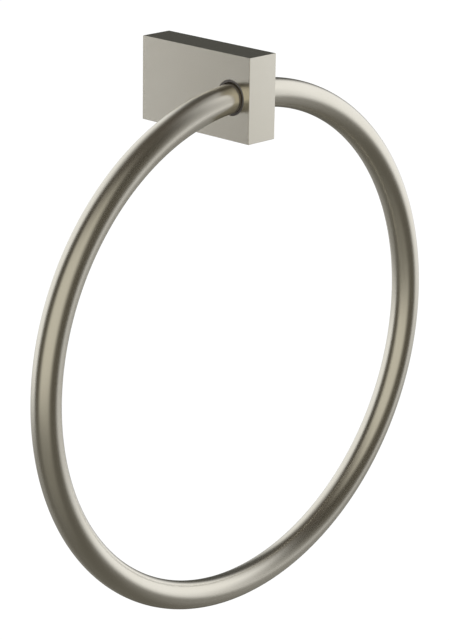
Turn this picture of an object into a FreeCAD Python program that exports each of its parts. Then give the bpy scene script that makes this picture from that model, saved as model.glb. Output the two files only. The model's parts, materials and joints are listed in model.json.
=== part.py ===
"""Towel ring: a round bar ring that hangs through a slim rectangular wall post.

Lengths are in millimetres. The origin is the centre of the post's back face, which lies on
the wall. +Z is up, -Y points away from the wall, and X runs across the post.

The ring is one bar bent to a circle. It is sprung open so that each end enters the post's
cross bore from its own side, where it turns in a cup-shaped plastic bush. The closed ends of
the two bushes meet in the middle of the post and keep the ring from sliding round. The post
slips over a bracket that is screwed to the wall, and a grub screw from below locks it there.
"""

import FreeCAD
import Part

import math
import os

V = FreeCAD.Vector
X = V(1, 0, 0)
Y = V(0, 1, 0)
Z = V(0, 0, 1)

# Post: the flat block that stands out from the wall
POST_DEPTH = 50.0
POST_HEIGHT = 29.0
POST_WIDTH = 12.5
POST_EDGE_ROUND = 0.25
BORE_EDGE_BREAK = 0.1

# Ring: a round bar bent to a circle, which swings about an axis across the post
RING_MEAN_DIAMETER = 177.0
BAR_DIAMETER = 10.0
AXIS_TO_FRONT = 8.5

# Bushes: plastic cups in the post's cross bore, one for each end of the bar
BUSH_WALL = 0.75
BUSH_END_WALL = 0.75
BUSH_RUNNING_GAP = 0.03
BUSH_SEAT_GAP = 0.02
BUSH_SETBACK = 0.1
BUSH_MOUTH_CHAMFER = 0.3
BUSH_FOOT_CHAMFER = 0.2
BAR_END_GAP = 0.15

# Pocket in the back of the post
POCKET_SIDE_WALL = 2.0
POCKET_END_WALL = 2.5
POCKET_CORNER = 1.0
POCKET_SPARE_DEPTH = 3.0

# Bracket that fills the pocket at the wall
BRACKET_SIDE_GAP = 0.2
BRACKET_BOTTOM_GAP = 0.4
BRACKET_PLATE = 3.0
BRACKET_LIP_COVER = 0.95
BRACKET_LIP_MARGIN = 1.5
SCREW_HOLE_DIAMETER = 3.8
SINK_SIDE_MARGIN = 0.65
SINK_END_MARGIN = 0.35

# Grub screw, driven in from below
GRUB_DIAMETER = 4.0
GRUB_TO_WALL = 8.0
GRUB_RECESS = 0.3
GRUB_BITE = 1.4
GRUB_THREAD_GAP = 0.03
GRUB_TIP_DIAMETER = 1.4
GRUB_TIP_GAP = 0.05
GRUB_SOCKET_FLATS = 2.0
GRUB_SOCKET_DEPTH = 1.6
GRUB_CHAMFER = 0.3

# Places of the post and the ring
RING_RADIUS = RING_MEAN_DIAMETER / 2
BAR_RADIUS = BAR_DIAMETER / 2
AXIS_Y = AXIS_TO_FRONT - POST_DEPTH
POST_TOP = POST_HEIGHT / 2
POST_BOTTOM = -POST_TOP

# The bent bar dips below the swing axis towards the mouths, so the bore is that much wider
BUSH_MOUTH_X = POST_WIDTH / 2 - BUSH_SETBACK
BAR_DIP = RING_RADIUS - math.sqrt((RING_RADIUS - BAR_RADIUS) ** 2 - BUSH_MOUTH_X**2)
BUSH_BORE_RADIUS = BAR_DIP + BUSH_RUNNING_GAP
BUSH_RADIUS = BUSH_BORE_RADIUS + BUSH_WALL
POST_BORE_RADIUS = BUSH_RADIUS + BUSH_SEAT_GAP
RING_END_ARC = BUSH_END_WALL + BAR_END_GAP

# Places in the pocket, from the wall and from the post's mid height
POCKET_WIDTH = POST_WIDTH - 2 * POCKET_SIDE_WALL
POCKET_TOP = POST_TOP - POCKET_END_WALL
BRACKET_WIDTH = POCKET_WIDTH - 2 * BRACKET_SIDE_GAP
BRACKET_BOTTOM = BRACKET_BOTTOM_GAP - POCKET_TOP
LIP_LENGTH = GRUB_TO_WALL + GRUB_DIAMETER / 2 + BRACKET_LIP_MARGIN
POCKET_DEPTH = LIP_LENGTH + POCKET_SPARE_DEPTH

# Places of the grub screw and of the dimple that its point enters
GRUB_RADIUS = GRUB_DIAMETER / 2
GRUB_FOOT = POST_BOTTOM + GRUB_RECESS
GRUB_TOP = BRACKET_BOTTOM + GRUB_BITE
GRUB_POINT_BASE = GRUB_TOP - (GRUB_DIAMETER - GRUB_TIP_DIAMETER) / 2
DIMPLE_MOUTH = GRUB_POINT_BASE + GRUB_TIP_GAP
DIMPLE_TIP = DIMPLE_MOUTH + GRUB_RADIUS
LIP_TOP = DIMPLE_TIP + BRACKET_LIP_COVER

# Countersunk screw holes, one at each end of the bracket's plate
SINK_DIAMETER = BRACKET_WIDTH - 2 * SINK_SIDE_MARGIN
SINK_DEPTH = (SINK_DIAMETER - SCREW_HOLE_DIAMETER) / 2
UPPER_SCREW_Z = POCKET_TOP - SINK_END_MARGIN - SINK_DIAMETER / 2
LOWER_SCREW_Z = LIP_TOP + SINK_END_MARGIN + SINK_DIAMETER / 2

# How far a cutting shape runs past the face that it cuts through
OVERRUN = 1.0


def box(width, depth, z_low, z_high, overrun=0.0):
    """A block centred across X that runs out from the wall, between two heights."""
    corner = V(-width / 2, -depth, z_low)
    return Part.makeBox(width, depth + overrun, z_high - z_low, corner)


def bar(radius, start, end):
    """A round bar between two points."""
    return Part.makeCylinder(radius, (end - start).Length, start, end - start)


def straight_edges(shape, direction):
    """The straight edges that run along a direction."""
    edges = [e for e in shape.Edges if not e.Degenerated]
    lines = [e for e in edges if isinstance(e.Curve, Part.Line)]
    return [e for e in lines if e.Curve.Direction.cross(direction).Length < 1e-6]


def rims(shape, radius, axis, height=None):
    """The circular edges of a radius round an axis, at any height along it or at one."""
    edges = [e for e in shape.Edges if not e.Degenerated]
    circles = [e for e in edges if isinstance(e.Curve, Part.Circle)]
    circles = [e for e in circles if abs(e.Curve.Radius - radius) < 1e-5]
    circles = [e for e in circles if e.Curve.Axis.cross(axis).Length < 1e-6]
    if height is None:
        return circles
    return [e for e in circles if abs(e.Curve.Center.dot(axis) - height) < 1e-5]


def make_post():
    """The post: a solid block with a cross bore, a pocket behind and a tapped hole below."""
    block = box(POST_WIDTH, POST_DEPTH, POST_BOTTOM, POST_TOP)
    off_the_wall = [e for e in block.Edges if e.BoundBox.YMin < -POST_EDGE_ROUND]
    block = block.makeFillet(POST_EDGE_ROUND, off_the_wall)

    pocket = box(POCKET_WIDTH, POCKET_DEPTH, -POCKET_TOP, POCKET_TOP, OVERRUN)
    pocket = pocket.makeFillet(POCKET_CORNER, straight_edges(pocket, Y))
    swing_axis = V(0, AXIS_Y, 0)
    bore = bar(POST_BORE_RADIUS, swing_axis - X * POST_WIDTH, swing_axis + X * POST_WIDTH)
    grub_axis = V(0, -GRUB_TO_WALL, 0)
    tapped = bar(GRUB_RADIUS, grub_axis + Z * (POST_BOTTOM - OVERRUN), grub_axis)

    post = block.cut([pocket, bore, tapped])
    post = post.makeChamfer(BORE_EDGE_BREAK, rims(post, POST_BORE_RADIUS, X))
    return post.makeChamfer(BORE_EDGE_BREAK, rims(post, GRUB_RADIUS, Z, POST_BOTTOM))


def make_ring():
    """The ring: a round bar bent to a circle, open by a small gap inside the post."""
    centre = V(0, AXIS_Y, -RING_RADIUS)
    section = Part.Face(Part.Wire([Part.Circle(V(0, AXIS_Y, 0), X, BAR_RADIUS).toShape()]))
    first_end = math.degrees(RING_END_ARC / RING_RADIUS)
    section.rotate(centre, Y, first_end)
    return section.revolve(centre, Y, 360 - 2 * first_end)


def make_bush(side):
    """A bush: a cup whose closed end lies at mid post and whose mouth faces one side."""
    out = X * side
    start = V(0, AXIS_Y, 0)
    mouth = start + out * BUSH_MOUTH_X
    cup = bar(BUSH_RADIUS, start, mouth)
    cup = cup.makeChamfer(BUSH_FOOT_CHAMFER, rims(cup, BUSH_RADIUS, X, 0))
    cup = cup.cut(bar(BUSH_BORE_RADIUS, start + out * BUSH_END_WALL, mouth + out * OVERRUN))
    return cup.makeChamfer(BUSH_MOUTH_CHAMFER, rims(cup, BUSH_BORE_RADIUS, X, side * BUSH_MOUTH_X))


def make_wall_bracket():
    """The bracket: a plate on the wall, and a lip below it that the grub screw bites."""
    plate = box(BRACKET_WIDTH, BRACKET_PLATE, BRACKET_BOTTOM, POCKET_TOP)
    lip = box(BRACKET_WIDTH, LIP_LENGTH, BRACKET_BOTTOM, LIP_TOP)
    bracket = plate.fuse(lip).removeSplitter()
    outline = straight_edges(bracket, Y)
    corners = [e for e in outline if abs(e.BoundBox.ZMin - LIP_TOP) > POCKET_CORNER / 2]
    bracket = bracket.makeFillet(POCKET_CORNER, corners)

    cuts = [make_dimple()]
    for z in (LOWER_SCREW_Z, UPPER_SCREW_Z):
        front = V(0, -BRACKET_PLATE, z)
        cuts.append(bar(SCREW_HOLE_DIAMETER / 2, front, V(0, OVERRUN, z)))
        cuts.append(
            Part.makeCone(SINK_DIAMETER / 2, SCREW_HOLE_DIAMETER / 2, SINK_DEPTH, front, Y)
        )
    return bracket.cut(cuts)


def make_dimple():
    """The room that the grub screw's end takes up in the lip: a short bore and a cone."""
    axis = V(0, -GRUB_TO_WALL, 0)
    mouth = axis + Z * DIMPLE_MOUTH
    cone = Part.makeCone(GRUB_RADIUS, 0, GRUB_RADIUS, mouth, Z)
    return cone.fuse(bar(GRUB_RADIUS, axis + Z * GRUB_FOOT, mouth)).removeSplitter()


def make_grub_screw():
    """The grub screw: no head, a hexagon socket below and a cone point above."""
    foot = V(0, -GRUB_TO_WALL, GRUB_FOOT)
    shank_top = V(0, -GRUB_TO_WALL, GRUB_POINT_BASE)
    radius = GRUB_RADIUS - GRUB_THREAD_GAP
    shank = bar(radius, foot, shank_top)
    shank = shank.makeChamfer(GRUB_CHAMFER, rims(shank, radius, Z, GRUB_FOOT))
    point_height = GRUB_TOP - GRUB_POINT_BASE
    point = Part.makeCone(radius, GRUB_TIP_DIAMETER / 2, point_height, shank_top, Z)

    across_corners = GRUB_SOCKET_FLATS / math.cos(math.radians(30))
    turns = [math.radians(60 * i) for i in range(7)]
    corners = [foot + V(math.cos(t), math.sin(t), 0) * (across_corners / 2) for t in turns]
    socket = Part.Face(Part.makePolygon(corners)).extrude(Z * GRUB_SOCKET_DEPTH)
    return shank.fuse(point).removeSplitter().cut(socket)


PIECES = {
    "post": make_post(),
    "ring": make_ring(),
    "bush_left": make_bush(-1),
    "bush_right": make_bush(1),
    "wall_bracket": make_wall_bracket(),
    "grub_screw": make_grub_screw(),
}

os.makedirs("parts", exist_ok=True)
for name, shape in PIECES.items():
    shape.exportStep(os.path.join("parts", name + ".step"))
    print(name, "solids", len(shape.Solids), "valid", shape.isValid(), "mm3 %.1f" % shape.Volume)
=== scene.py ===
"""The look of the towel ring: satin nickel ring and post, dark bushes, plated bracket.

Every length is in metres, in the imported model's own frame: the wall lies at Y = 0, the post
stands out from it towards -Y, and +Z is up.
"""

import json
import math

import bmesh
import bpy
from mathutils import Matrix, Vector


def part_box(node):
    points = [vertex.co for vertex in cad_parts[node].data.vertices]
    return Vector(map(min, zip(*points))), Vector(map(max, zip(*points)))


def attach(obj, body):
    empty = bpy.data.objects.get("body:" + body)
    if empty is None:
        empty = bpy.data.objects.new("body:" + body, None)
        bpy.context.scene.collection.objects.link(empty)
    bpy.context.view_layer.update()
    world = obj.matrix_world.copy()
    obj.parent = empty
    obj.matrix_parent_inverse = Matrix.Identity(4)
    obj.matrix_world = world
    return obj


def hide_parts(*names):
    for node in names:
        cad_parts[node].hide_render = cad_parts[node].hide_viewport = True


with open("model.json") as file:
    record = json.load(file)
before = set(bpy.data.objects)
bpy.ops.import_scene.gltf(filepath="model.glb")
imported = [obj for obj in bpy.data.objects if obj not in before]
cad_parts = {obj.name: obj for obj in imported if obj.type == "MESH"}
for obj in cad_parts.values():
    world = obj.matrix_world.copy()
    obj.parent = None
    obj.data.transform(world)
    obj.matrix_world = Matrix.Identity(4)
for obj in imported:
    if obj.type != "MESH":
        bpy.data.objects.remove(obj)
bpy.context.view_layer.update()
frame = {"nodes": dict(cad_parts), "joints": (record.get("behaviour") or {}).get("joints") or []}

MM = 0.001

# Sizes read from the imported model
POST_LOW, POST_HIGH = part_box("post")
RING_LOW, RING_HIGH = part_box("ring")
BUSH_LOW, BUSH_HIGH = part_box("bush_right")
GRUB_LOW, GRUB_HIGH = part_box("grub_screw")
AXIS = Vector(frame["joints"][0]["pos_m"])
BAR_RADIUS = (RING_HIGH.y - RING_LOW.y) / 2
RING_RADIUS = (RING_HIGH.x - RING_LOW.x) / 2 - BAR_RADIUS
BUSH_RADIUS = (BUSH_HIGH.z - BUSH_LOW.z) / 2
BUSH_MOUTH = BUSH_HIGH.x
GRUB_RADIUS = (GRUB_HIGH.x - GRUB_LOW.x) / 2
GRUB_AXIS = (GRUB_HIGH + GRUB_LOW) / 2

# Sizes that the model's boxes don't give. The post's edges are crisper than the model's
POST_EDGE = 0.12 * MM
POST_EDGE_STEPS = 4
BORE_EDGE = 0.06 * MM
BUSH_SEAT_GAP = 0.02 * MM
BUSH_WALL = 0.75 * MM
BUSH_LIP = 0.1 * MM
POCKET_SIDE_WALL = 2.0 * MM
POCKET_END_WALL = 2.5 * MM
POCKET_DEPTH = 14.5 * MM
POCKET_CORNER = 1.0 * MM
POCKET_CORNER_STEPS = 8
RING_END_ARC = 0.9 * MM
GRUB_THREAD_GAP = 0.03 * MM
GRUB_PITCH = 0.7 * MM
GRUB_THREAD_DEPTH = 0.25 * MM
GRUB_POINT_RADIUS = 0.7 * MM
GRUB_CHAMFER = 0.3 * MM
GRUB_SOCKET_FLATS = 2.0 * MM
GRUB_SOCKET_SIDES = 6
GRUB_SOCKET_DEPTH = 1.6 * MM
OVERRUN = 1.0 * MM


class Value:
    """A number that varies over a surface. Arithmetic on it adds Math nodes."""

    def __init__(self, graph, socket):
        self.graph = graph
        self.socket = socket

    def __add__(self, other):
        return self.graph.math("ADD", self, other)

    def __radd__(self, other):
        return self.graph.math("ADD", other, self)

    def __sub__(self, other):
        return self.graph.math("SUBTRACT", self, other)

    def __rsub__(self, other):
        return self.graph.math("SUBTRACT", other, self)

    def __mul__(self, other):
        return self.graph.math("MULTIPLY", self, other)

    def __rmul__(self, other):
        return self.graph.math("MULTIPLY", other, self)


class Graph:
    """A node tree that is written as expressions."""

    def __init__(self, tree):
        self.tree = tree
        tree.nodes.clear()

    def add(self, kind, settings=None, sockets=None):
        """One node: its settings first, then the values or links of its sockets."""
        node = self.tree.nodes.new(kind)
        for name, value in (settings or {}).items():
            setattr(node, name, value)
        for name, value in (sockets or {}).items():
            self.feed(node.inputs[name], value)
        return node

    def feed(self, socket, value):
        if isinstance(value, Value):
            value = value.socket
        if isinstance(value, bpy.types.NodeSocket):
            self.tree.links.new(value, socket)
        else:
            socket.default_value = value

    def math(self, operation, *values):
        node = self.add("ShaderNodeMath", {"operation": operation}, dict(enumerate(values)))
        return Value(self, node.outputs[0])

    def smoothstep(self, value, low, high):
        """0 below low, 1 above high, and a smooth rise between them."""
        node = self.add(
            "ShaderNodeMapRange",
            {"interpolation_type": "SMOOTHSTEP"},
            {"Value": value, "From Min": low, "From Max": high},
        )
        return Value(self, node.outputs["Result"])

    def blend(self, factor, first, second):
        """A colour between two colours."""
        node = self.add("ShaderNodeMix", {"data_type": "RGBA"})
        self.feed(node.inputs[0], factor)
        self.feed(node.inputs[6], first)
        self.feed(node.inputs[7], second)
        return node.outputs[2]

    def split(self, vector):
        node = self.add("ShaderNodeSeparateXYZ", None, {"Vector": vector})
        return [Value(self, socket) for socket in node.outputs]

    def join(self, x, y, z):
        return self.add("ShaderNodeCombineXYZ", None, {"X": x, "Y": y, "Z": z}).outputs[0]

    def noise(self, vector, scale, detail=2.0, roughness=0.5):
        node = self.add(
            "ShaderNodeTexNoise",
            {"noise_dimensions": "3D"},
            {"Vector": vector, "Scale": scale, "Detail": detail, "Roughness": roughness},
        )
        return Value(self, node.outputs["Fac"])

    def bump(self, height, strength, distance):
        node = self.add(
            "ShaderNodeBump", None, {"Strength": strength, "Distance": distance, "Height": height}
        )
        return node.outputs["Normal"]


def grey(level):
    return (level, level, level, 1.0)


def new_material(name):
    material = bpy.data.materials.new(name)
    material.use_nodes = True
    return material, Graph(material.node_tree)


def principled(graph, sockets):
    shader = graph.add("ShaderNodeBsdfPrincipled", None, sockets)
    graph.add("ShaderNodeOutputMaterial", None, {"Surface": shader.outputs["BSDF"]})


# The middle of a noise, and the range that most of it lies in
NOISE_MIDDLE = 0.5
NOISE_RANGE = (0.35, 0.65)

# Satin nickel: its colour, its roughness, and the fine lines that the brush leaves
NICKEL = (0.815, 0.787, 0.705, 1.0)
NICKEL_SHADE = (0.79, 0.757, 0.67, 1.0)
RING_ROUGHNESS = 0.25
POST_ROUGHNESS = 0.19
BRUSH_ROUGHNESS = 0.04
BRUSH_ACROSS = 9000.0
BRUSH_ALONG = 120.0
BRUSH_DEPTH = 0.0008 * MM
BRUSH_BUMP = 1.0
CLOUD_SCALE = 45.0
CLOUD_SHARE = 0.6


def brushed_nickel(graph, line_place, cloud_place, mean_roughness):
    """Satin nickel whose brush lines follow line_place, which is already stretched."""
    lines = graph.noise(line_place, 1.0, detail=3.0, roughness=0.6)
    clouds = graph.noise(cloud_place, CLOUD_SCALE, detail=3.0)
    unevenness = (lines - NOISE_MIDDLE) + (clouds - NOISE_MIDDLE)
    shade = graph.smoothstep(clouds * CLOUD_SHARE + lines * (1 - CLOUD_SHARE), *NOISE_RANGE)
    principled(
        graph,
        {
            "Base Color": graph.blend(shade, NICKEL_SHADE, NICKEL),
            "Metallic": 1.0,
            "Roughness": mean_roughness + unevenness * BRUSH_ROUGHNESS,
            "Normal": graph.bump(lines, BRUSH_BUMP, BRUSH_DEPTH),
        },
    )


def ring_nickel():
    """Satin nickel on the ring, brushed along the bar."""
    material, graph = new_material("satin_nickel_ring")
    place = graph.add("ShaderNodeTexCoord").outputs["Object"]
    x, y, z = graph.split(place)
    depth = y - AXIS.y
    height = z - (AXIS.z - RING_RADIUS)
    reach = graph.math("SQRT", x * x + height * height)
    along = graph.math("ARCTAN2", x, height) * RING_RADIUS
    around = graph.math("ARCTAN2", depth, reach - RING_RADIUS) * BAR_RADIUS
    lines = graph.join(along * BRUSH_ALONG, around * BRUSH_ACROSS, 0.0)
    brushed_nickel(graph, lines, place, RING_ROUGHNESS)
    return material


def post_nickel():
    """Satin nickel on the post: brushed along its length, and upright on its front face."""
    material, graph = new_material("satin_nickel_post")
    place = graph.add("ShaderNodeTexCoord").outputs["Object"]
    x, y, z = graph.split(place)
    front = 1 - graph.smoothstep(y, POST_LOW.y, POST_LOW.y + POST_EDGE)
    lengthwise = graph.join(x * BRUSH_ACROSS, y * BRUSH_ALONG, z * BRUSH_ACROSS)
    upright = graph.join(x * BRUSH_ACROSS, y * BRUSH_ACROSS, z * BRUSH_ALONG)
    lines = graph.add(
        "ShaderNodeMix",
        {"data_type": "VECTOR"},
        {"Factor": front, 4: lengthwise, 5: upright},
    ).outputs[1]
    brushed_nickel(graph, lines, place, POST_ROUGHNESS)
    return material


# How far the clouds or the grain of the hidden materials change their roughness
ROUGHNESS_SPREAD = 0.15

PLASTIC = (0.1, 0.09, 0.085, 1.0)
PLASTIC_GLOSS = (0.125, 0.113, 0.105, 1.0)
# Painted light: a paler colour for the bore, standing in for light in the shaded gap between bush and
# bar
PLASTIC_PAINTED_LIGHT = (0.33, 0.29, 0.25, 1.0)
PLASTIC_ROUGHNESS = 0.35
PLASTIC_GRAIN = 6000.0
PLASTIC_GRAIN_DEPTH = 0.005 * MM
PLASTIC_BUMP = 0.5


def bush_plastic():
    """Moulded dark plastic with a fine, even grain, and painted light in the bore: a paler colour
    that lifts the shaded gap round the bar.
    """
    material, graph = new_material("bush_plastic")
    place = graph.add("ShaderNodeTexCoord").outputs["Object"]
    _, y, z = graph.split(place)
    depth = y - AXIS.y
    height = z - AXIS.z
    reach = graph.math("SQRT", depth * depth + height * height)
    bore = BUSH_RADIUS - BUSH_WALL
    # Painted light: the bore and the inside of the lip go paler, to lift the shaded gap round the bar
    beyond_painted_light = graph.smoothstep(reach, bore, bore + BUSH_LIP)
    grain = graph.noise(place, PLASTIC_GRAIN)
    colour = graph.blend(grain, PLASTIC, PLASTIC_GLOSS)
    principled(
        graph,
        {
            "Base Color": graph.blend(beyond_painted_light, PLASTIC_PAINTED_LIGHT, colour),
            "Roughness": PLASTIC_ROUGHNESS + grain * ROUGHNESS_SPREAD,
            "Normal": graph.bump(grain, PLASTIC_BUMP, PLASTIC_GRAIN_DEPTH),
        },
    )
    return material


ZINC = (0.56, 0.57, 0.59, 1.0)
ZINC_CLOUD = (0.46, 0.475, 0.5, 1.0)
ZINC_ROUGHNESS = 0.3
ZINC_CLOUD_SCALE = 420.0
ZINC_GRAIN = 5200.0
ZINC_GRAIN_DEPTH = 0.004 * MM
ZINC_BUMP = 0.4


def bracket_zinc():
    """Zinc plating: cold grey metal with soft clouds."""
    material, graph = new_material("zinc_plate")
    place = graph.add("ShaderNodeTexCoord").outputs["Object"]
    clouds = graph.noise(place, ZINC_CLOUD_SCALE, detail=4.0)
    grain = graph.noise(place, ZINC_GRAIN)
    principled(
        graph,
        {
            "Base Color": graph.blend(graph.smoothstep(clouds, *NOISE_RANGE), ZINC_CLOUD, ZINC),
            "Metallic": 1.0,
            "Roughness": ZINC_ROUGHNESS + clouds * ROUGHNESS_SPREAD,
            "Normal": graph.bump(grain, ZINC_BUMP, ZINC_GRAIN_DEPTH),
        },
    )
    return material


STEEL = (0.3, 0.3, 0.31, 1.0)
STEEL_DARK = (0.16, 0.16, 0.17, 1.0)
STEEL_ROUGHNESS = 0.35
STEEL_CLOUD_SCALE = 900.0
STEEL_CLOUD_DEPTH = 0.004 * MM
STEEL_BUMP = 0.3


def screw_steel():
    """Hardened steel: grey metal with dark clouds."""
    material, graph = new_material("hardened_steel")
    place = graph.add("ShaderNodeTexCoord").outputs["Object"]
    clouds = graph.noise(place, STEEL_CLOUD_SCALE, detail=3.0)
    principled(
        graph,
        {
            "Base Color": graph.blend(clouds, STEEL_DARK, STEEL),
            "Metallic": 1.0,
            "Roughness": STEEL_ROUGHNESS + clouds * ROUGHNESS_SPREAD,
            "Normal": graph.bump(clouds, STEEL_BUMP, STEEL_CLOUD_DEPTH),
        },
    )
    return material


def direction(azimuth, elevation):
    """The unit vector towards an azimuth and an elevation, both in degrees."""
    turn = math.radians(azimuth)
    rise = math.radians(elevation)
    return Vector((math.sin(turn) * math.cos(rise), -math.cos(turn) * math.cos(rise), math.sin(rise)))


def mesh_from(shape, name):
    """A mesh from a shape that is then freed."""
    mesh = bpy.data.meshes.new(name)
    shape.to_mesh(mesh)
    shape.free()
    return mesh


def new_object(name, mesh, material):
    thing = bpy.data.objects.new(name, mesh)
    bpy.context.scene.collection.objects.link(thing)
    mesh.materials.clear()
    mesh.materials.append(material)
    return thing


def finished(thing):
    """The object with its modifiers applied and removed."""
    graph = bpy.context.evaluated_depsgraph_get()
    mesh = bpy.data.meshes.new_from_object(thing.evaluated_get(graph))
    thing.modifiers.clear()
    thing.data = mesh
    return thing


def discard(*things):
    for thing in things:
        bpy.data.objects.remove(thing)


def piece(thing, body, slot, *nodes):
    """Puts a finished piece on its body, in place of its CAD nodes."""
    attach(thing, body)
    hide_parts(*nodes)


def turned(name, profile, origin, axis, steps, material):
    """A turned solid: (along, radius) points spun about an axis through origin."""
    tilt = Vector((0, 0, 1)).rotation_difference(Vector(axis)).to_matrix().to_4x4()
    shape = bmesh.new()
    rings = []
    for along, radius in profile:
        if radius == 0:
            rings.append([shape.verts.new((0, 0, along))])
            continue
        turns = [2 * math.pi * step / steps for step in range(steps)]
        rings.append([
            shape.verts.new((radius * math.cos(t), radius * math.sin(t), along)) for t in turns
        ])
    for low, high in zip(rings, rings[1:]):
        for step in range(steps):
            after = (step + 1) % steps
            if len(low) == 1:
                shape.faces.new((low[0], high[step], high[after]))
            elif len(high) == 1:
                shape.faces.new((low[step], high[0], low[after]))
            else:
                shape.faces.new((low[step], high[step], high[after], low[after]))
    bmesh.ops.recalc_face_normals(shape, faces=shape.faces)
    mesh = mesh_from(shape, name)
    mesh.transform(Matrix.Translation(Vector(origin)) @ tilt)
    return new_object(name, mesh, material)


def box_mesh(name, low, high, material):
    shape = bmesh.new()
    bmesh.ops.create_cube(shape, size=1.0)
    for vert in shape.verts:
        vert.co = Vector(l + (c + 0.5) * (h - l) for l, h, c in zip(low, high, vert.co))
    return new_object(name, mesh_from(shape, name), material)


def bevel_edges(thing, wanted, width, steps):
    """Rounds the edges that wanted accepts, given their two ends."""
    shape = bmesh.new()
    shape.from_mesh(thing.data)
    edges = [e for e in shape.edges if wanted(e.verts[0].co, e.verts[1].co)]
    bmesh.ops.bevel(
        shape, geom=edges, offset=width, segments=steps, profile=0.5, affect="EDGES"
    )
    shape.to_mesh(thing.data)
    shape.free()


def cut(thing, *cutters):
    for cutter in cutters:
        modifier = thing.modifiers.new("cut_" + cutter.name, "BOOLEAN")
        modifier.operation = "DIFFERENCE"
        modifier.solver = "EXACT"
        modifier.object = cutter
    finished(thing)
    discard(*cutters)


# Angles past which an edge stays sharp, in degrees, and the pull of flats on their rounds
SHARP = 30.0
RING_SHARP = 50.0
SCREW_SHARP = 40.0
FLAT_WEIGHT = 100


def smooth(thing, sharp=SHARP):
    """Smooth shading with crisp edges, and flats that stay flat beside their rounds."""
    for polygon in thing.data.polygons:
        polygon.use_smooth = True
    shape = bmesh.new()
    shape.from_mesh(thing.data)
    for edge in shape.edges:
        if len(edge.link_faces) == 2:
            edge.smooth = edge.calc_face_angle(0.0) < math.radians(sharp)
    shape.to_mesh(thing.data)
    shape.free()
    weighting = thing.modifiers.new("flats", "WEIGHTED_NORMAL")
    weighting.mode = "FACE_AREA"
    weighting.weight = FLAT_WEIGHT
    weighting.keep_sharp = True
    return finished(thing)


def corner_arc(centre_along, centre_radius, size, start, end, steps=5):
    """Points on a quarter round in a turned profile."""
    turns = [math.radians(start + (end - start) * step / steps) for step in range(steps + 1)]
    return [(centre_along + size * math.cos(t), centre_radius + size * math.sin(t)) for t in turns]


# Ring

RING_STEPS = 480
RING_SIDES = 72


def ring_tree():
    """Sweeps a round bar along an open circle that starts and ends at the top."""
    tree = bpy.data.node_groups.new("swept_ring", "GeometryNodeTree")
    face = tree.interface
    face.new_socket("Geometry", in_out="INPUT", socket_type="NodeSocketGeometry")
    face.new_socket("Ring Radius", in_out="INPUT", socket_type="NodeSocketFloat")
    face.new_socket("Bar Radius", in_out="INPUT", socket_type="NodeSocketFloat")
    face.new_socket("Start Angle", in_out="INPUT", socket_type="NodeSocketFloat")
    face.new_socket("Sweep Angle", in_out="INPUT", socket_type="NodeSocketFloat")
    face.new_socket("Centre", in_out="INPUT", socket_type="NodeSocketVector")
    face.new_socket("Material", in_out="INPUT", socket_type="NodeSocketMaterial")
    face.new_socket("Geometry", in_out="OUTPUT", socket_type="NodeSocketGeometry")
    graph = Graph(tree)
    given = graph.add("NodeGroupInput").outputs
    circle = graph.add(
        "GeometryNodeCurveArc",
        {"mode": "RADIUS"},
        {
            "Resolution": RING_STEPS,
            "Radius": given["Ring Radius"],
            "Start Angle": given["Start Angle"],
            "Sweep Angle": given["Sweep Angle"],
        },
    )
    upright = graph.add(
        "GeometryNodeTransform",
        None,
        {
            "Geometry": circle.outputs["Curve"],
            "Translation": given["Centre"],
            "Rotation": (math.pi / 2, 0.0, 0.0),
        },
    )
    section = graph.add(
        "GeometryNodeCurvePrimitiveCircle",
        {"mode": "RADIUS"},
        {"Resolution": RING_SIDES, "Radius": given["Bar Radius"]},
    )
    bar = graph.add(
        "GeometryNodeCurveToMesh",
        None,
        {
            "Curve": upright.outputs["Geometry"],
            "Profile Curve": section.outputs["Curve"],
            "Fill Caps": True,
        },
    )
    real = graph.add("GeometryNodeRealizeInstances", None, {"Geometry": bar.outputs["Mesh"]})
    dressed = graph.add(
        "GeometryNodeSetMaterial",
        None,
        {"Geometry": real.outputs["Geometry"], "Material": given["Material"]},
    )
    graph.add("NodeGroupOutput", None, {"Geometry": dressed.outputs["Geometry"]})
    return tree


def make_ring(material):
    """The ring: one round bar bent to a circle, open only inside the post."""
    ring = new_object("ring_bar", bpy.data.meshes.new("ring_bar"), material)
    tree = ring_tree()
    sweep = ring.modifiers.new("sweep", "NODES")
    sweep.node_group = tree
    end_angle = RING_END_ARC / RING_RADIUS
    sizes = {
        "Ring Radius": RING_RADIUS,
        "Bar Radius": BAR_RADIUS,
        "Start Angle": math.pi / 2 + end_angle,
        "Sweep Angle": 2 * (math.pi - end_angle),
        "Centre": (AXIS.x, AXIS.y, AXIS.z - RING_RADIUS),
        "Material": material,
    }
    for item in tree.interface.items_tree:
        if item.in_out == "INPUT" and item.name in sizes:
            sweep[item.identifier] = sizes[item.name]
    finished(ring)
    smooth(ring, RING_SHARP)
    piece(ring, "ring", "satin_nickel", "ring")


# Post

BORE_STEPS = 160
HOLE_STEPS = 64


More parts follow.
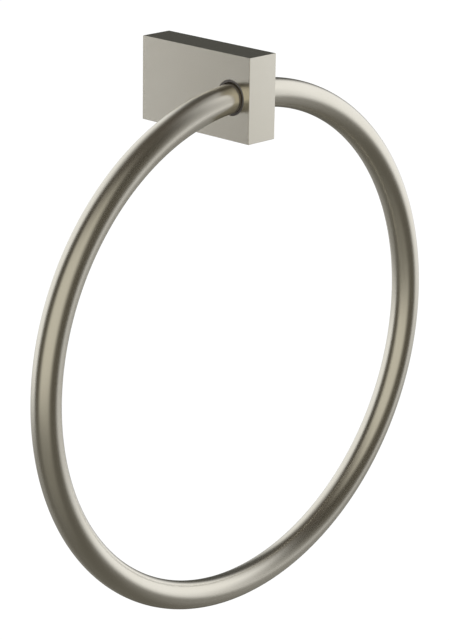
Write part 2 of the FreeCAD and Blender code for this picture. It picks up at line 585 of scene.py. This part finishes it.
def make_post(material):
    """The post: a block with eased edges, a cross bore, a pocket behind and a tapped hole."""
    post = box_mesh("post_block", POST_LOW, POST_HIGH, material)
    wall = POST_HIGH.y - POST_EDGE / 2
    bevel_edges(post, lambda a, b: min(a.y, b.y) < wall, POST_EDGE, POST_EDGE_STEPS)

    bore_radius = BUSH_RADIUS + BUSH_SEAT_GAP
    half = POST_HIGH.x
    flare = bore_radius + BORE_EDGE + OVERRUN
    bore = turned(
        "bore",
        [
            (-half - OVERRUN, 0),
            (-half - OVERRUN, flare),
            (-half + BORE_EDGE, bore_radius),
            (half - BORE_EDGE, bore_radius),
            (half + OVERRUN, flare),
            (half + OVERRUN, 0),
        ],
        AXIS,
        (1, 0, 0),
        BORE_STEPS,
        material,
    )

    pocket_low = (POST_LOW.x + POCKET_SIDE_WALL, -POCKET_DEPTH, POST_LOW.z + POCKET_END_WALL)
    pocket_high = (POST_HIGH.x - POCKET_SIDE_WALL, OVERRUN, POST_HIGH.z - POCKET_END_WALL)
    pocket = box_mesh("pocket", pocket_low, pocket_high, material)
    bevel_edges(
        pocket, lambda a, b: abs(a.y - b.y) > POCKET_CORNER, POCKET_CORNER, POCKET_CORNER_STEPS
    )

    tapped_radius = GRUB_RADIUS + GRUB_THREAD_GAP
    low = POST_LOW.z
    inside = low + 2 * POCKET_END_WALL
    tapped = turned(
        "tapped",
        [
            (low - OVERRUN, 0),
            (low - OVERRUN, tapped_radius + BORE_EDGE + OVERRUN),
            (low + BORE_EDGE, tapped_radius),
            (inside, tapped_radius),
            (inside, 0),
        ],
        (GRUB_AXIS.x, GRUB_AXIS.y, 0),
        (0, 0, 1),
        HOLE_STEPS,
        material,
    )
    cut(post, bore, pocket, tapped)
    smooth(post)
    piece(post, "wall_post", "satin_nickel", "post")


# Bushes

BUSH_STEPS = 128


def make_bush(side, material):
    """A bush: a cup with a rounded lip, open towards one side."""
    name = "bush_right" if side > 0 else "bush_left"
    bore = BUSH_RADIUS - BUSH_WALL
    profile = [(0, 0), (0, BUSH_RADIUS - BUSH_LIP), (BUSH_LIP, BUSH_RADIUS)]
    lip_along = BUSH_MOUTH - BUSH_LIP
    profile += corner_arc(lip_along, BUSH_RADIUS - BUSH_LIP, BUSH_LIP, 90, 0)
    profile += corner_arc(lip_along, bore + BUSH_LIP, BUSH_LIP, 0, -90)
    profile += [(BUSH_WALL, bore), (BUSH_WALL, 0)]
    bush = turned(name + "_cup", profile, AXIS, (side, 0, 0), BUSH_STEPS, material)
    smooth(bush)
    piece(bush, "wall_post", "bush_plastic", name)


# Grub screw

GRUB_STEPS = 72
GRUB_ROWS_PER_TURN = 12


def make_grub_screw(material):
    """The grub screw: a threaded shank with a hexagon socket below and a cone point above."""
    low = GRUB_LOW.z
    cone = GRUB_RADIUS - GRUB_POINT_RADIUS
    top = GRUB_HIGH.z - cone
    rows = round((top - low) / GRUB_PITCH * GRUB_ROWS_PER_TURN)
    shape = bmesh.new()
    rings = []
    for row in range(rows + 1):
        z = low + (top - low) * row / rows
        edge_fade = min(1.0, (z - low) / GRUB_CHAMFER, (top - z) / GRUB_CHAMFER)
        ring = []
        for step in range(GRUB_STEPS):
            turn = step / GRUB_STEPS
            phase = ((z - low) / GRUB_PITCH - turn) % 1.0
            groove = GRUB_THREAD_DEPTH * abs(2 * phase - 1)
            radius = GRUB_RADIUS - groove - (1 - edge_fade) * (GRUB_THREAD_DEPTH - groove)
            angle = 2 * math.pi * turn
            ring.append(shape.verts.new((radius * math.cos(angle), radius * math.sin(angle), z)))
        rings.append(ring)
    tip = [
        shape.verts.new((
            GRUB_POINT_RADIUS * math.cos(2 * math.pi * step / GRUB_STEPS),
            GRUB_POINT_RADIUS * math.sin(2 * math.pi * step / GRUB_STEPS),
            GRUB_HIGH.z,
        ))
        for step in range(GRUB_STEPS)
    ]
    rings.append(tip)
    for below, above in zip(rings, rings[1:]):
        for step in range(GRUB_STEPS):
            after = (step + 1) % GRUB_STEPS
            shape.faces.new((below[step], below[after], above[after], above[step]))
    shape.faces.new(reversed(rings[0]))
    shape.faces.new(rings[-1])
    mesh = mesh_from(shape, "grub_screw")
    mesh.transform(Matrix.Translation((GRUB_AXIS.x, GRUB_AXIS.y, 0)))
    screw = new_object("grub_screw_threaded", mesh, material)
    corner = GRUB_SOCKET_FLATS / 2 / math.cos(math.pi / GRUB_SOCKET_SIDES)
    socket = turned(
        "socket",
        [
            (low - OVERRUN, 0),
            (low - OVERRUN, corner),
            (low + GRUB_SOCKET_DEPTH, corner),
            (low + GRUB_SOCKET_DEPTH, 0),
        ],
        (GRUB_AXIS.x, GRUB_AXIS.y, 0),
        (0, 0, 1),
        GRUB_SOCKET_SIDES,
        material,
    )
    cut(screw, socket)
    smooth(screw, SCREW_SHARP)
    piece(screw, "wall_post", "screw_steel", "grub_screw")


# Studio: a plain white surround, with cards that only the metal shows

CARD_DISTANCE = 6.0
CARD_SPACING = 0.08
CARD_STEP = 6.0
FLOOR_DROP = 6.5
FLOOR_RADIUS = 40.0
FLOOR_SIDES = 96
FLOOR_COLOUR = (0.4, 0.4, 0.4, 1.0)
FLOOR_GLOW = 0.64
DARK_CARD = (0.078, 0.07, 0.053, 1.0)
DARK_CARD_FRONT = (0.088, 0.079, 0.061, 1.0)
DARK_CARD_ABOVE = (0.053, 0.047, 0.036, 1.0)
COOL_CARD = (0.079, 0.079, 0.072, 1.0)
COOL_CARD_ABOVE = (0.068, 0.067, 0.061, 1.0)
WARM_CARD = (0.61, 0.585, 0.51, 1.0)
PALE_CARD = (0.92, 0.92, 0.91, 1.0)
CEILING_CARD = (0.078, 0.068, 0.055, 1.0)
TABLE_CARD = (0.13, 0.123, 0.105, 1.0)
TABLE_CARD_FRONT = (0.114, 0.107, 0.09, 1.0)

# Where the cards begin, end and change colour: elevations and azimuths in degrees
CEILING_FROM = 27
CEILING_SOFT = 50
TABLE_EDGE = (-31, -6)
TABLE_HEART = (-72, -32)
TABLE_EDGE_COVER = 0.82
CARD_LOW = -75
CARD_HIGH = 80
CARD_PIVOT = -18
SHADE_RISE = (12, 38)
FRONT_BEGIN = (-60, -22)
FRONT_END = (5, 38)
CEILING_LIFT = 3
LIFT_BEGIN = (20, 50)
LIFT_END = (85, 110)

# Each upright card: its name, the azimuths that it spans in degrees, the width of its soft
# edges, how far its two edges lean out per degree away from the pivot (in, if below zero), and
# its colours below and above. Where two cards meet, one reaches under the other's soft edge
UPRIGHT_CARDS = (
    ("pale_card_behind", (130, 232), (22, 30), (0.0, 0.0), (PALE_CARD, PALE_CARD)),
    ("dark_card_left", (-148, -62), (28, 16), (0.16, 0.0), (DARK_CARD, DARK_CARD_ABOVE)),
    ("warm_card", (-107, 20), (24, 28), (0.0, 0.0), (WARM_CARD, WARM_CARD)),
    ("dark_card_front", (-34, 55.6), (28, 31), (0.0, -0.03), (DARK_CARD_FRONT, DARK_CARD_ABOVE)),
    ("cool_card_back", (106.5, 149), (22, 16), (0.15, 0.15), (COOL_CARD, COOL_CARD_ABOVE)),
)


def card_material(name, colours, shade, cover):
    """A card's glow: between two colours as shade says, and as solid as cover says."""
    material, graph = new_material(name)
    across, up, _ = graph.split(graph.add("ShaderNodeTexCoord").outputs["UV"])
    colour = graph.blend(shade(graph, across, up), *colours)
    glow = graph.add("ShaderNodeEmission", None, {"Color": colour, "Strength": 1.0})
    clear = graph.add("ShaderNodeBsdfTransparent")
    shown = graph.add(
        "ShaderNodeMixShader",
        None,
        {0: cover(graph, across, up), 1: clear.outputs[0], 2: glow.outputs[0]},
    )
    graph.add("ShaderNodeOutputMaterial", None, {"Surface": shown.outputs[0]})
    return material


def card_steps(low, high):
    """Angles from low to high, in degrees."""
    count = math.ceil((high - low) / CARD_STEP)
    return [low + (high - low) * step / count for step in range(count + 1)]


def make_card(name, azimuths, elevations, colours, shade, distance, cover):
    """A curved card round the object. Its UV map holds azimuth and elevation in degrees."""
    centre = Vector((AXIS.x, AXIS.y, AXIS.z - RING_RADIUS))
    shape = bmesh.new()
    angles = shape.loops.layers.uv.new("angles")
    grid = []
    for elevation in card_steps(*elevations):
        line = []
        for azimuth in card_steps(*azimuths):
            place = centre + direction(azimuth, elevation) * distance
            line.append((shape.verts.new(place), (azimuth, elevation)))
        grid.append(line)
    for low, high in zip(grid, grid[1:]):
        for column in range(len(low) - 1):
            corners = (low[column], high[column], high[column + 1], low[column + 1])
            face = shape.faces.new([vert for vert, _ in corners])
            for loop, (_, angle) in zip(face.loops, corners):
                loop[angles].uv = angle
    material = card_material(name, colours, shade, cover)
    card = new_object(name, mesh_from(shape, name), material)
    card.visible_camera = False
    card.visible_diffuse = False
    card.visible_transmission = False
    card.visible_shadow = False


def make_cards():
    """Dark, warm and pale cards round the object, each a little nearer to it than the last."""

    def between(azimuths, soft, leans):
        def cover(graph, across, up):
            height = graph.math("ABSOLUTE", up - CARD_PIVOT)
            first = across + height * leans[0]
            second = across - height * leans[1]
            begun = graph.smoothstep(first, azimuths[0], azimuths[0] + soft[0])
            ended = graph.smoothstep(second, azimuths[1] - soft[1], azimuths[1])
            return begun * (1 - ended)
        return cover

    def above(graph, across, up):
        return graph.smoothstep(up, *SHADE_RISE)

    def in_front(graph, across, up):
        return graph.smoothstep(across, *FRONT_BEGIN) * (1 - graph.smoothstep(across, *FRONT_END))

    def ceiling(graph, across, up):
        lift = graph.smoothstep(across, *LIFT_BEGIN) * (1 - graph.smoothstep(across, *LIFT_END))
        return graph.smoothstep(up - lift * CEILING_LIFT, CEILING_FROM, CEILING_FROM + CEILING_SOFT)

    def table(graph, across, up):
        edge = 1 - graph.smoothstep(up, *TABLE_EDGE)
        heart = 1 - graph.smoothstep(up, *TABLE_HEART)
        return edge * TABLE_EDGE_COVER + heart * (1 - TABLE_EDGE_COVER)

    distance = CARD_DISTANCE
    rise = CARD_HIGH - CARD_PIVOT
    for name, azimuths, soft, leans, colours in UPRIGHT_CARDS:
        cover = between(azimuths, soft, leans)
        reach = (azimuths[0] - max(leans[0], 0) * rise, azimuths[1] + max(leans[1], 0) * rise)
        make_card(name, reach, (CARD_LOW, CARD_HIGH), colours, above, distance, cover)
        distance -= CARD_SPACING
    whole = (-180, 180)
    ceiling_colours = (CEILING_CARD, CEILING_CARD)
    table_colours = (TABLE_CARD, TABLE_CARD_FRONT)
    make_card("ceiling_card", whole, (CEILING_FROM, 90), ceiling_colours, above, distance, ceiling)
    make_card("table_card", whole, (-90, 0), table_colours, in_front, distance, table)


def make_world():
    """White all round, for the light and for what the camera and the metal see."""
    world = bpy.data.worlds.new("studio")
    bpy.context.scene.world = world
    world.use_nodes = True
    graph = Graph(world.node_tree)
    plain = graph.add("ShaderNodeBackground", None, {"Color": grey(1.0), "Strength": 1.0})
    graph.add("ShaderNodeOutputWorld", None, {"Surface": plain.outputs[0]})


def make_floor():
    """A pale round floor far below. Its glow brings it to white and keeps shadows."""
    material, graph = new_material("pale_floor")
    path = graph.add("ShaderNodeLightPath").outputs
    lit = graph.add("ShaderNodeBsdfDiffuse", None, {"Color": FLOOR_COLOUR})
    glow = graph.add("ShaderNodeEmission", None, {"Color": grey(1.0), "Strength": FLOOR_GLOW})
    white = graph.add("ShaderNodeAddShader", None, {0: lit.outputs[0], 1: glow.outputs[0]})
    direct = graph.math("MAXIMUM", path["Is Camera Ray"], path["Is Transmission Ray"])
    direct = graph.math("MAXIMUM", direct, path["Is Glossy Ray"])
    seen = graph.add(
        "ShaderNodeMixShader", None, {0: direct, 1: lit.outputs[0], 2: white.outputs[0]}
    )
    clear = graph.add("ShaderNodeBsdfTransparent")
    behind = graph.add("ShaderNodeNewGeometry").outputs["Backfacing"]
    shown = graph.add(
        "ShaderNodeMixShader", None, {0: behind, 1: seen.outputs[0], 2: clear.outputs[0]}
    )
    graph.add("ShaderNodeOutputMaterial", None, {"Surface": shown.outputs[0]})
    shape = bmesh.new()
    bmesh.ops.create_circle(shape, cap_ends=True, segments=FLOOR_SIDES, radius=FLOOR_RADIUS)
    for polygon in shape.faces:
        if polygon.normal.z < 0:
            polygon.normal_flip()
    mesh = mesh_from(shape, "floor")
    mesh.transform(Matrix.Translation((0, AXIS.y, RING_LOW.z - FLOOR_DROP)))
    new_object("floor", mesh, material)


# Camera: the photograph's viewpoint, from a fit to the post's corners and the ring's outline
PHOTO_WIDTH, PHOTO_HEIGHT = 449, 640
CAMERA_AZIMUTH = -46.1752
CAMERA_ELEVATION = 18.4309
CAMERA_ROLL = 0.8909
CAMERA_PLACE = Vector((-0.5538, -0.5659, 0.1755))
FOCAL_PIXELS = 2352.7
SENSOR = 36.0
NEAR_CLIP = 0.05
FAR_CLIP = 50.0


def make_camera():
    roll = math.radians(CAMERA_ROLL)
    back = direction(CAMERA_AZIMUTH, CAMERA_ELEVATION)
    level = Vector((0, 0, 1)).cross(back).normalized()
    above = back.cross(level)
    right = level * math.cos(roll) + above * math.sin(roll)
    up = above * math.cos(roll) - level * math.sin(roll)
    turn = Matrix((right, up, back)).transposed().to_4x4()
    lens = bpy.data.cameras.new("photo_view")
    lens.sensor_fit = "AUTO"
    lens.sensor_width = SENSOR
    lens.lens = SENSOR * FOCAL_PIXELS / max(PHOTO_WIDTH, PHOTO_HEIGHT)
    lens.clip_start = NEAR_CLIP
    lens.clip_end = FAR_CLIP
    camera = bpy.data.objects.new("photo_view", lens)
    camera.matrix_world = Matrix.Translation(CAMERA_PLACE) @ turn
    bpy.context.scene.collection.objects.link(camera)
    bpy.context.scene.camera = camera


make_ring(ring_nickel())
make_post(post_nickel())
plastic = bush_plastic()
make_bush(-1, plastic)
make_bush(1, plastic)
make_grub_screw(screw_steel())
bracket = frame["nodes"]["wall_bracket"].data
bracket.materials.clear()
bracket.materials.append(bracket_zinc())
make_world()
make_floor()
make_cards()
make_camera()
bpy.context.scene.view_settings.view_transform = "Standard"
